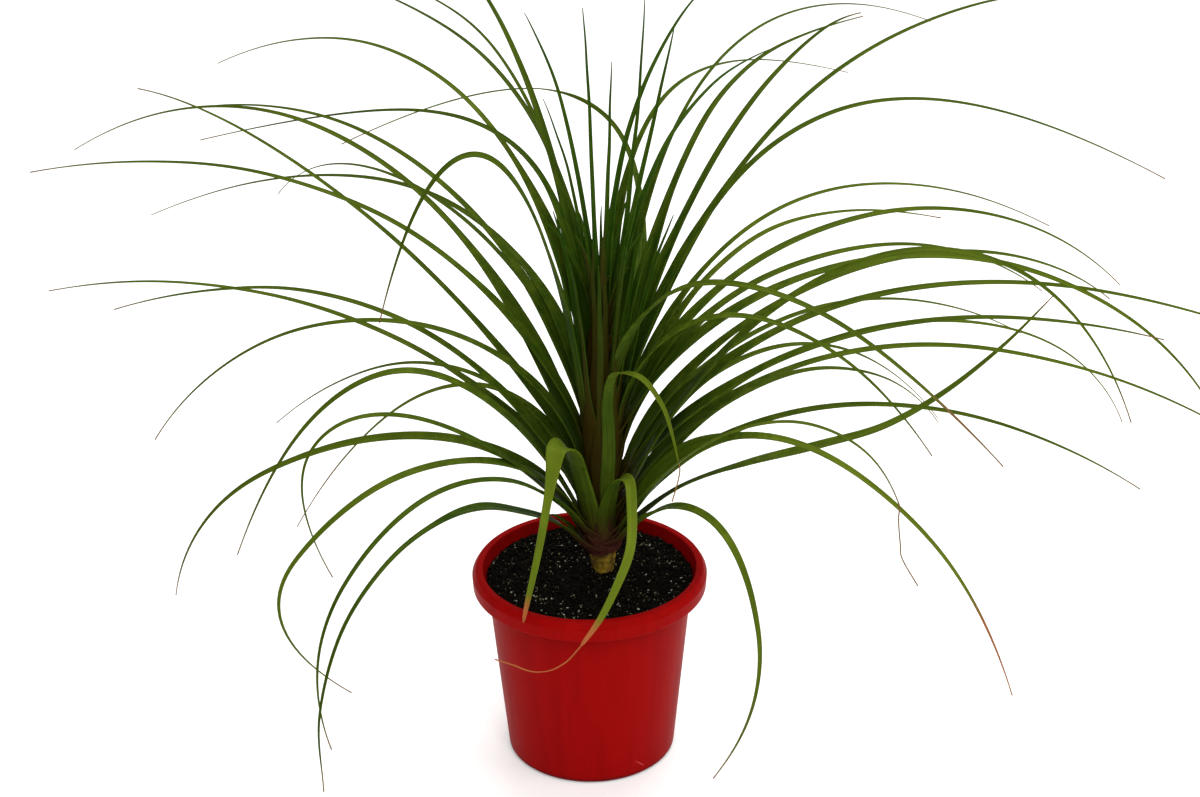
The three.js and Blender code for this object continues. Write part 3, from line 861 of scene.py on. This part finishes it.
# A leaf's middle line from the foot of its sheath to its tip: its points, where each lies between
# root and tip as a share, and the leaf's two level directions.
def leafLine(leaf):
    turn = math.radians(leaf["turn"])
    outward = Vector((math.cos(turn), math.sin(turn), 0))
    sideways = Vector((-math.sin(turn), math.cos(turn), 0))
    line = []
    ragged = blade["sheathRagged"] * noise.noise(Vector((leaf["turn"] / 23, leaf["root"] / 7, 2)))
    sheath = min(blade["sheathLength"], max(2, leaf["root"] - blade["sheathFoot"] + ragged))
    for i in range(blade["sheathRows"]):
        drop = sheath * (1 - i / blade["sheathRows"])
        height = leaf["root"] - drop
        sunk = stem["sheathDepth"] * (drop / blade["sheathLength"]) ** 1.4
        reach = min(stemRadius(height) + 0.2, leaf["rootRadius"]) - sunk
        line.append((outward * reach + Vector((0, 0, height)), 0))
    for i in range(blade["along"] + 1):
        t = i / blade["along"]
        if leaf["path"]:
            line.append((alongPath(leaf["path"], t), t))
        else:
            line.append((alongBend(leaf, outward, sideways, t), t))
    tip = line[-1][0]
    thread = [tip]
    for out, side, up in leaf["thread"]:
        thread.append(tip + outward * out + sideways * side + Vector((0, 0, up)))
    for k in range(len(thread) - 1):
        before = thread[k - 1] if k else line[-4][0]
        after = thread[min(k + 2, len(thread) - 1)]
        for i in range(blade["threadSteps"]):
            s = (i + 1) / blade["threadSteps"]
            line.append((catmull(before, thread[k], thread[k + 1], after, s), 1))
    points = [point for point, _ in line]
    joint = blade["sheathRows"]
    for _ in range(blade["easeRounds"]):  # the sheath runs into the blade without a corner
        eased = list(points)
        for k in range(max(1, joint - 6), joint + 5):
            eased[k] = (points[k - 1] + points[k + 1]) / 2
        points = eased
    return points, [t for _, t in line], outward, sideways


# A blade's width at t as a share of its greatest: broad above its root, then slim to its tip.
def bladeShare(t, leaf):
    swell = blade["rootShare"] + (1 - blade["rootShare"]) * min(1, t / blade["rootRun"])
    broad = (1 - leaf["slim"]) * (1 - smoothStep(t, *leaf["broadRun"]))
    return swell * (leaf["slim"] * (1 - t) ** leaf["taper"] + broad)


# The blade's surface, over one flat grid that runs across it in x and from foot to tip in y. The
# mask holds its tone, darkened towards the root as painted shade, how dry it is, and how far past
# the root it lies.
def growBlade(bm, leaf, rng):
    points, shares, outward, sideways = leafLine(leaf)
    last = len(points) - 1
    travelled = [0.0]
    for a, b in zip(points, points[1:]):
        travelled.append(travelled[-1] + (b - a).length)
    rootAt = travelled[blade["sheathRows"]]
    phase = rng.uniform(0, 10)
    rows = []
    for k, point in enumerate(points):
        t = shares[k]
        along = (points[min(k + 1, last)] - points[max(k - 1, 0)]).normalized()
        side = (sideways - along * sideways.dot(along)).normalized()
        face = along.cross(side)
        past = travelled[k] - rootAt
        turned = smoothStep(t, *leaf["twistRun"])
        rootTwist = leaf["rootTwist"] * smoothStep(past, 0, blade["rootTwistRun"]) * (1 - turned)
        twist = math.radians(rootTwist + blade["faceTurn"] * outward.x * turned)
        twist += blade["wobble"] * t * noise.noise(Vector((phase, t * 2.2, 0)))
        across = side * math.cos(twist) + face * math.sin(twist)
        up = face * math.cos(twist) - side * math.sin(twist)
        half = leaf["width"] / 2 * bladeShare(t, leaf)
        clasp = 1 - smoothStep(past, *blade["claspRun"])
        sheath = clasp * min(blade["sheathHalf"], leaf["width"] * blade["claspShare"])
        half = max(leaf["leastHalf"], half, sheath)
        hug = 1 / max(4, stemRadius(min(leaf["root"], point.z)))
        bendOf = hug * clasp + (1 - clasp) * 2 * blade["channel"] / half
        drift = blade["sway"] * noise.noise(Vector((phase, t * 5, 4)))
        sway = across * (drift * smoothStep(t, 0.15, 0.5))
        rows.append((point + sway, across, up, half, bendOf, t, past))
    grid = bmesh.ops.create_grid(bm, x_segments=blade["across"], y_segments=last, size=1)
    verts = grid["verts"]
    faces = {face for vert in verts for face in vert.link_faces}
    uvLayer = bm.loops.layers.uv.verify()
    for face in faces:
        for loop in face.loops:
            place = loop.vert.co
            loop[uvLayer].uv = ((place.x + 1) / 2, (place.y + 1) / 2)
    mask = bm.verts.layers.float_color["leafMask"]
    deform = bm.verts.layers.deform.verify()
    for vert in verts:
        u = -vert.co.x
        centre, across, up, half, bendOf, t, past = rows[round((vert.co.y + 1) / 2 * last)]
        angle = u * half * bendOf
        flat = math.sin(angle) / bendOf
        deep = (1 - math.cos(angle)) / bendOf + blade["fold"] * half * abs(u) * (1 - u * u)
        vert.co = centre + across * flat + up * deep
        dry = smoothStep(t, leaf["dryStart"], leaf["dryStart"] + blade["dryRun"])
        # Painted shade: the leaf's tone is darkened near the root and rises to its full value along
        # the blade
        rise = smoothStep(t, *leaf["rootShadeRun"])
        tone = leaf["tone"] * (blade["rootShadeTone"] + (1 - blade["rootShadeTone"]) * rise)
        beyond = min(1, max(0, (past - blade["maskFrom"]) / blade["maskLength"]))
        vert[mask] = (tone, dry, beyond, 1)
        vert[deform][0] = 1 - smoothStep(t, *blade["thickRun"])


# One piece of one or more leaves, thick at the root and thin at the tip.
def bladePiece(name, leaves, materials, slot, node):
    bm = bmesh.new()
    bm.verts.layers.float_color.new("leafMask")
    bm.verts.layers.deform.verify()
    bm.loops.layers.uv.new("UVMap")
    rng = random.Random(name)
    for leaf in leaves:
        growBlade(bm, leaf, rng)
    bmesh.ops.translate(bm, vec=(*stem["axis"], 0), verts=bm.verts)
    piece = addPiece(name, bm, materials, slot, node)
    piece.vertex_groups.new(name="thick")
    solidify = piece.modifiers.new("thickness", "SOLIDIFY")
    solidify.thickness = blade["thickness"] * mm
    solidify.offset = -1
    solidify.vertex_group = "thick"
    solidify.thickness_vertex_group = blade["tipThickness"] / blade["thickness"]
    solidify.material_offset = 1


leafSkin = {
    "veins": 94.0,
    "toneSpread": 37.0,
    "margin": 0.05,
    "footFrom": 0.2,
    "brownFrom": (0.136, 0.165),
    "tan": ((0.24, 0.13, 0.04, 1), (0.1, 0.055, 0.025, 1)),
    "ruddy": (0.34, 0.1, 0.032, 1),
    "ruddyFrom": (0.5, 0.6),
}


# Colour, gloss and relief of leaf tissue: veins along the blade, a purple-brown foot, a dry tip.
def leafTissue():
    group, nodes, links, given, made = newGroup(
        "leafTissue",
        [
            ("Deep", "NodeSocketColor", (0, 0, 0, 1)),
            ("Yellow", "NodeSocketColor", (0, 0, 0, 1)),
            ("Foot", "NodeSocketColor", (0, 0, 0, 1)),
            ("Brown", "NodeSocketColor", (0, 0, 0, 1)),
            ("Foot Reach", "NodeSocketFloat", 0.3),
        ],
        [
            ("Colour", "NodeSocketColor"),
            ("Roughness", "NodeSocketFloat"),
            ("Height", "NodeSocketFloat"),
        ],
    )
    masks = addNode(nodes, "ShaderNodeAttribute", attribute_name="leafMask")
    parts = addNode(nodes, "ShaderNodeSeparateColor")
    links.new(masks.outputs["Color"], parts.inputs[0])
    tone, dry, past = parts.outputs
    uv = addNode(nodes, "ShaderNodeUVMap", uv_map="UVMap").outputs["UV"]
    split = addNode(nodes, "ShaderNodeSeparateXYZ")
    links.new(uv, split.inputs[0])
    u, v, _ = split.outputs
    lane = addNode(nodes, "ShaderNodeCombineXYZ")
    links.new(u, lane.inputs["X"])
    links.new(v, lane.inputs["Y"])
    links.new(mathNode(nodes, links, "MULTIPLY", tone, leafSkin["toneSpread"]), lane.inputs["Z"])
    streak = noiseNode(nodes, links, lane.outputs[0], (9, 3, 1), 1.6)
    patch = noiseNode(nodes, links, lane.outputs[0], (0.6, 7, 1), 1.4, 2)
    shade = mathNode(nodes, links, "MULTIPLY_ADD", streak, 0.5, -0.25)
    shade = mathNode(nodes, links, "ADD", shade, tone)
    patches = mathNode(nodes, links, "MULTIPLY_ADD", patch, 0.5, -0.25)
    shade = mathNode(nodes, links, "ADD", shade, patches, clamp=True)
    colour = mixColour(nodes, links, shade, given["Deep"], given["Yellow"])
    edge = mathNode(nodes, links, "ABSOLUTE", mathNode(nodes, links, "SUBTRACT", u, 0.5))
    margin = ramp(nodes, links, edge, 0.4, 0.5)
    margin = mathNode(nodes, links, "MULTIPLY", margin, leafSkin["margin"])
    colour = mixColour(nodes, links, margin, colour, given["Yellow"])
    reach = addNode(nodes, "ShaderNodeMapRange", interpolation_type="SMOOTHSTEP")
    links.new(mathNode(nodes, links, "MULTIPLY_ADD", streak, 0.18, past), reach.inputs["Value"])
    reach.inputs["From Min"].default_value = leafSkin["footFrom"]
    links.new(given["Foot Reach"], reach.inputs["From Max"])
    level = addNode(nodes, "ShaderNodeSeparateXYZ")
    links.new(addNode(nodes, "ShaderNodeTexCoord").outputs["Object"], level.inputs[0])
    brown = ramp(nodes, links, level.outputs["Z"], *leafSkin["brownFrom"])
    foot = mixColour(nodes, links, brown, given["Foot"], given["Brown"])
    colour = mixColour(nodes, links, reach.outputs["Result"], foot, colour)
    tan = mixColour(nodes, links, streak, *leafSkin["tan"])
    ruddy = ramp(nodes, links, tone, *leafSkin["ruddyFrom"])
    withered = mixColour(nodes, links, ruddy, tan, leafSkin["ruddy"])
    colour = mixColour(nodes, links, dry, colour, withered)
    links.new(colour, made["Colour"])
    links.new(mathNode(nodes, links, "MULTIPLY_ADD", dry, 0.3, 0.42), made["Roughness"])
    wave = mathNode(nodes, links, "MULTIPLY", u, leafSkin["veins"])
    veins = mathNode(nodes, links, "SINE", wave)
    rib = mathNode(nodes, links, "MULTIPLY", ramp(nodes, links, edge, 0.0, 0.06), 0.8)
    height = mathNode(nodes, links, "MULTIPLY_ADD", veins, 0.25, rib)
    links.new(height, made["Height"])
    return group


def leafMaterial(name, tissue, values):
    material, nodes, links, shader = newMaterial(name)
    made = placeGroup(nodes, links, tissue, **values)
    links.new(made["Colour"], shader.inputs["Base Color"])
    links.new(made["Roughness"], shader.inputs["Roughness"])
    shader.inputs["Specular IOR Level"].default_value = 0.02
    bump(nodes, links, made["Height"], 0.0001, 0.6, shader)
    return material


# What the tissue takes for each kind of leaf: its colours, and how far its foot's colour reaches
leafColours = {
    "upper": {
        "Deep": (0.012, 0.034, 0.001, 1),
        "Yellow": (0.15, 0.2, 0.013, 1),
        "Foot": (0.045, 0.012, 0.009, 1),
        "Brown": (0.026, 0.019, 0.002, 1),
        "Foot Reach": 0.32,
    },
    "under": {
        "Deep": (0.014, 0.037, 0.002, 1),
        "Yellow": (0.15, 0.2, 0.015, 1),
        "Foot": (0.05, 0.013, 0.01, 1),
        "Brown": (0.028, 0.02, 0.002, 1),
        "Foot Reach": 0.42,
    },
    "inner": {
        "Deep": (0.011, 0.038, 0.002, 1),
        "Yellow": (0.09, 0.15, 0.008, 1),
        "Foot": (0.04, 0.012, 0.009, 1),
        "Brown": (0.028, 0.019, 0.002, 1),
        "Foot Reach": 0.45,
    },
    "innerUnder": {
        "Deep": (0.011, 0.036, 0.002, 1),
        "Yellow": (0.09, 0.14, 0.009, 1),
        "Foot": (0.045, 0.013, 0.01, 1),
        "Brown": (0.03, 0.019, 0.002, 1),
        "Foot Reach": 1.05,
    },
    "sheath": {
        "Deep": (0.02, 0.016, 0.004, 1),
        "Yellow": (0.1, 0.07, 0.02, 1),
        "Foot": (0.05, 0.014, 0.01, 1),
        "Brown": (0.03, 0.014, 0.006, 1),
        "Foot Reach": 0.5,
    },
}


# A leaf's row as a dictionary. It is rooted on the stem, or in it at rootShare of its radius.
def readLeaf(row, rootShare=None):
    leaf = dict(zip(leafKeys, row))
    radius = stemRadius(leaf["root"])
    leaf["rootRadius"] = rootShare * radius if rootShare else radius + blade["seatGap"]
    leaf.update({"thread": [], "path": [], "rootTwist": 0})
    leaf["slim"] = blade["slimShare"]
    leaf["taper"] = blade["slimTaper"]
    for key in ("dryStart", "broadRun", "twistRun", "rootShadeRun", "leastHalf"):
        leaf[key] = blade[key]
    return leaf


def addLeaves():
    tissue = leafTissue()
    looks = {name: leafMaterial(name, tissue, values) for name, values in leafColours.items()}
    strap = [looks["upper"], looks["under"]]
    inner = [looks["inner"], looks["innerUnder"]]
    groups = {
        "leaf_left": leftLeaves,
        "leaf_right": rightLeaves,
        "leaf_front": frontLeaves,
        "leaf_back": backLeaves,
    }
    for prefix, rows in groups.items():
        for i, row in enumerate(rows):
            name = f"{prefix}_{i + 1:02d}"
            leaf = readLeaf(row)
            leaf.update(leafDetails.get(name, {}))
            bladePiece(name.replace("leaf", "strap"), [leaf], strap, "leaves", name)
    crown = [readLeaf(row, rootShare=0.4) for row in [*uprightLeaves, *youngRows()]]
    column = [readLeaf(row) for row in columnLeaves]
    for leaf in [*crown, *column]:
        leaf["dryStart"] = blade["innerDryStart"]
        leaf["leastHalf"] = blade["innerLeastHalf"]
    bladePiece("crownLeaves", crown, inner, "crown_leaves", "crown")
    bladePiece("columnLeaves", column, inner, "crown_leaves", "crown")
    sheaths = [readLeaf(row) for row in oldSheaths]
    for leaf in sheaths:
        leaf["dryStart"] = blade["innerDryStart"]
    bladePiece("oldSheaths", sheaths, [looks["sheath"], looks["sheath"]], "stem", "trunk")


# A mask and a height from one noise, for grain and specks.
def surfaceGrain():
    group, nodes, links, given, made = newGroup(
        "surfaceGrain",
        [
            ("Vector", "NodeSocketVector", (0, 0, 0)),
            ("Scale", "NodeSocketFloat", 500.0),
            ("Low", "NodeSocketFloat", 0.4),
            ("High", "NodeSocketFloat", 0.7),
        ],
        [("Mask", "NodeSocketFloat"), ("Height", "NodeSocketFloat")],
    )
    speck = addNode(nodes, "ShaderNodeTexNoise")
    links.new(given["Vector"], speck.inputs["Vector"])
    links.new(given["Scale"], speck.inputs["Scale"])
    span = addNode(nodes, "ShaderNodeMapRange", interpolation_type="SMOOTHSTEP")
    links.new(speck.outputs["Fac"], span.inputs["Value"])
    links.new(given["Low"], span.inputs["From Min"])
    links.new(given["High"], span.inputs["From Max"])
    links.new(span.outputs["Result"], made["Mask"])
    links.new(speck.outputs["Fac"], made["Height"])
    return group


floorLook = {
    "half": 8,
    "level": -0.0003,
    "colour": (0.93, 0.93, 0.92, 1),
    "glow": 0.2,
}


# A wide pale floor that lifts itself to white with a little light of its own.
def addFloor():
    bm = bmesh.new()
    bmesh.ops.create_grid(bm, x_segments=1, y_segments=1, size=floorLook["half"])
    bmesh.ops.translate(bm, vec=(0, 0, floorLook["level"]), verts=bm.verts)
    mesh = bpy.data.meshes.new("floor")
    bm.to_mesh(mesh)
    bm.free()
    material, _, _, shader = newMaterial("paleFloor")
    shader.inputs["Emission Color"].default_value = (1, 1, 1, 1)
    shader.inputs["Emission Strength"].default_value = floorLook["glow"]
    shader.inputs["Base Color"].default_value = floorLook["colour"]
    shader.inputs["Roughness"].default_value = 0.9
    mesh.materials.append(material)
    floor = bpy.data.objects.new("floor", mesh)
    scene.collection.objects.link(floor)


addCamera()
addLights()
addFloor()
print("camera, lights and floor")
grainGroup = surfaceGrain()
addPot(grainGroup)
print("pot")
addMix(grainGroup)
print("potting mix")
addStem(grainGroup)
print("stem")
addLeaves()
print("leaves")
